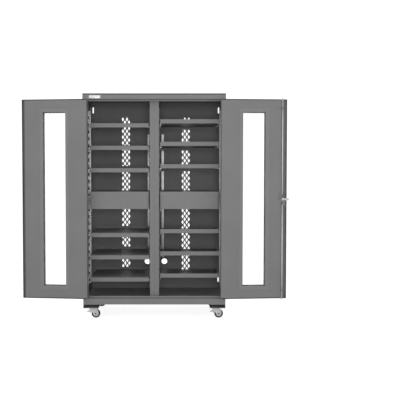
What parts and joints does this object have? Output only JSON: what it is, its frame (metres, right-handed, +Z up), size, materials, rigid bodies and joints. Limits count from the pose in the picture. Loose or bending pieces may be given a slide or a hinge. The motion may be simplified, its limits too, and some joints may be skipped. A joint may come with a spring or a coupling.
{
  "type": "charging cabinet",
  "caption": "Mobile two-bay steel charging cabinet with windowed double doors, adjustable shelves, vertical power strips, diamond vents and swivel casters.",
  "frame": {"origin": "on the floor under the centre of the cabinet body", "axes": "+X to the right seen from the front, +Y from the door side to the back, +Z up"},
  "size_m": [2.2734, 0.6538, 1.93],
  "materials": {
    "body_paint": "textured grey powder coat",
    "cap_paint": "textured grey powder coat",
    "door_paint": "textured grey powder coat",
    "frame_paint": "textured grey powder coat",
    "shelf_paint": "textured grey powder coat",
    "zinc": "bright zinc",
    "handle_metal": "satin chrome",
    "brass": "turned",
    "strip_shell": "satin",
    "black_plastic": "fine grain",
    "rubber": "moulded",
    "tread": "moulded",
    "clear_pane": "clear"
  },
  "bodies": {
    "cabinet": {"top_panel": "cap_paint", "left_side_panel": "body_paint", "right_side_panel": "body_paint", "back_panel": "body_paint", "base_pan": "body_paint", "header_rail": "body_paint", "sill_rail": "body_paint", "centre_dividers": "body_paint", "base_runners": "body_paint", "centre_shelves": "shelf_paint", "raceway_covers": "shelf_paint", "shelf_uprights": "zinc", "shelf_clips": "zinc", "power_strips": "strip_shell", "strip_outlets": "black_plastic", "cable_grommets": "rubber", "jamb_hinges": "zinc", "caster_plates": "zinc", "caster_bolts": "zinc", "left_shelf_1": "shelf_paint", "left_shelf_2": "shelf_paint", "left_shelf_3": "shelf_paint", "left_shelf_4": "shelf_paint", "left_shelf_5": "shelf_paint", "left_shelf_6": "shelf_paint", "right_shelf_1": "shelf_paint", "right_shelf_2": "shelf_paint", "right_shelf_3": "shelf_paint", "right_shelf_4": "shelf_paint", "right_shelf_5": "shelf_paint", "right_shelf_6": "shelf_paint"},
    "left_door": {"left_door_panel": "door_paint", "left_door_liner": "door_paint", "left_window": "clear_pane", "left_window_frame": "frame_paint", "left_door_hinge_leaves": "zinc"},
    "right_door": {"right_door_panel": "door_paint", "right_door_liner": "door_paint", "right_window": "clear_pane", "right_window_frame": "frame_paint", "right_door_hinge_leaves": "zinc", "latch_housing": "zinc", "rod_guides": "zinc"},
    "latch": {"latch_handle": "handle_metal", "latch_cam": "zinc"},
    "lock": {"lock_plug": "brass"},
    "upper_latch_rod": {"upper_rod": "zinc"},
    "lower_latch_rod": {"lower_rod": "zinc"},
    "left_switch": {"left_strip_switch": "black_plastic"},
    "right_switch": {"right_strip_switch": "black_plastic"},
    "front_left_caster": {"front_left_fork": "zinc"},
    "front_left_caster_wheel": {"front_left_wheel": "tread"},
    "front_left_brake": {"front_left_brake_pedal": "black_plastic"},
    "front_right_caster": {"front_right_fork": "zinc"},
    "front_right_caster_wheel": {"front_right_wheel": "tread"},
    "front_right_brake": {"front_right_brake_pedal": "black_plastic"},
    "rear_left_caster": {"rear_left_fork": "zinc"},
    "rear_left_caster_wheel": {"rear_left_wheel": "tread"},
    "rear_right_caster": {"rear_right_fork": "zinc"},
    "rear_right_caster_wheel": {"rear_right_wheel": "tread"}
  },
  "joints": [
    {"name": "left_door_hinge", "type": "hinge", "parent": "cabinet", "child": "left_door", "pos_m": [-0.564, -0.311, 1.03], "axis": [0, 0, 1], "range_deg": [0, 186]},
    {"name": "right_door_hinge", "type": "hinge", "parent": "cabinet", "child": "right_door", "pos_m": [0.564, -0.311, 1.03], "axis": [0, 0, 1], "range_deg": [-184, 0]},
    {"name": "latch_turn", "type": "hinge", "parent": "right_door", "child": "latch", "pos_m": [1.08795, -0.31346, 1.03], "axis": [0.0698, -0.9976, 0], "range_deg": [0, 90]},
    {"name": "lock_turn", "type": "hinge", "parent": "latch", "child": "lock", "pos_m": [1.08416, -0.25929, 1.03], "axis": [0.0698, -0.9976, 0], "range_deg": [0, 90]},
    {"name": "upper_rod_slide", "type": "slide", "parent": "right_door", "child": "upper_latch_rod", "axis": [0, 0, -1], "range_m": [0, 0.02283]},
    {"name": "lower_rod_slide", "type": "slide", "parent": "right_door", "child": "lower_latch_rod", "axis": [0, 0, 1], "range_m": [0, 0.02283]},
    {"name": "left_switch_rock", "type": "hinge", "parent": "cabinet", "child": "left_switch", "pos_m": [-0.0693, 0.2695, 0.534], "axis": [0, 1, 0], "range_deg": [0, 12]},
    {"name": "right_switch_rock", "type": "hinge", "parent": "cabinet", "child": "right_switch", "pos_m": [0.0693, 0.2695, 0.534], "axis": [0, -1, 0], "range_deg": [0, 12]},
    {"name": "front_left_swivel", "type": "hinge", "parent": "cabinet", "child": "front_left_caster", "pos_m": [-0.532, -0.24, 0.0857], "axis": [0, 0, 1], "continuous": true},
    {"name": "front_left_wheel_spin", "type": "hinge", "parent": "front_left_caster", "child": "front_left_caster_wheel", "pos_m": [-0.508, -0.24, 0.038], "axis": [0, 1, 0], "continuous": true},
    {"name": "front_left_brake_press", "type": "hinge", "parent": "front_left_caster", "child": "front_left_brake", "pos_m": [-0.555, -0.24, 0.061], "axis": [0, -1, 0], "range_deg": [0, 15]},
    {"name": "front_right_swivel", "type": "hinge", "parent": "cabinet", "child": "front_right_caster", "pos_m": [0.532, -0.24, 0.0857], "axis": [0, 0, 1], "continuous": true},
    {"name": "front_right_wheel_spin", "type": "hinge", "parent": "front_right_caster", "child": "front_right_caster_wheel", "pos_m": [0.556, -0.24, 0.038], "axis": [0, 1, 0], "continuous": true},
    {"name": "front_right_brake_press", "type": "hinge", "parent": "front_right_caster", "child": "front_right_brake", "pos_m": [0.509, -0.24, 0.061], "axis": [0, -1, 0], "range_deg": [0, 15]},
    {"name": "rear_left_swivel", "type": "hinge", "parent": "cabinet", "child": "rear_left_caster", "pos_m": [-0.532, 0.24, 0.0857], "axis": [0, 0, 1], "continuous": true},
    {"name": "rear_left_wheel_spin", "type": "hinge", "parent": "rear_left_caster", "child": "rear_left_caster_wheel", "pos_m": [-0.508, 0.24, 0.038], "axis": [0, 1, 0], "continuous": true},
    {"name": "rear_right_swivel", "type": "hinge", "parent": "cabinet", "child": "rear_right_caster", "pos_m": [0.532, 0.24, 0.0857], "axis": [0, 0, 1], "continuous": true},
    {"name": "rear_right_wheel_spin", "type": "hinge", "parent": "rear_right_caster", "child": "rear_right_caster_wheel", "pos_m": [0.556, 0.24, 0.038], "axis": [0, 1, 0], "continuous": true}
  ],
  "couplings": [
    {"joint": "upper_rod_slide", "follows": "latch_turn", "m_per_rad": 0.014405},
    {"joint": "lower_rod_slide", "follows": "latch_turn", "m_per_rad": 0.014405}
  ]
}
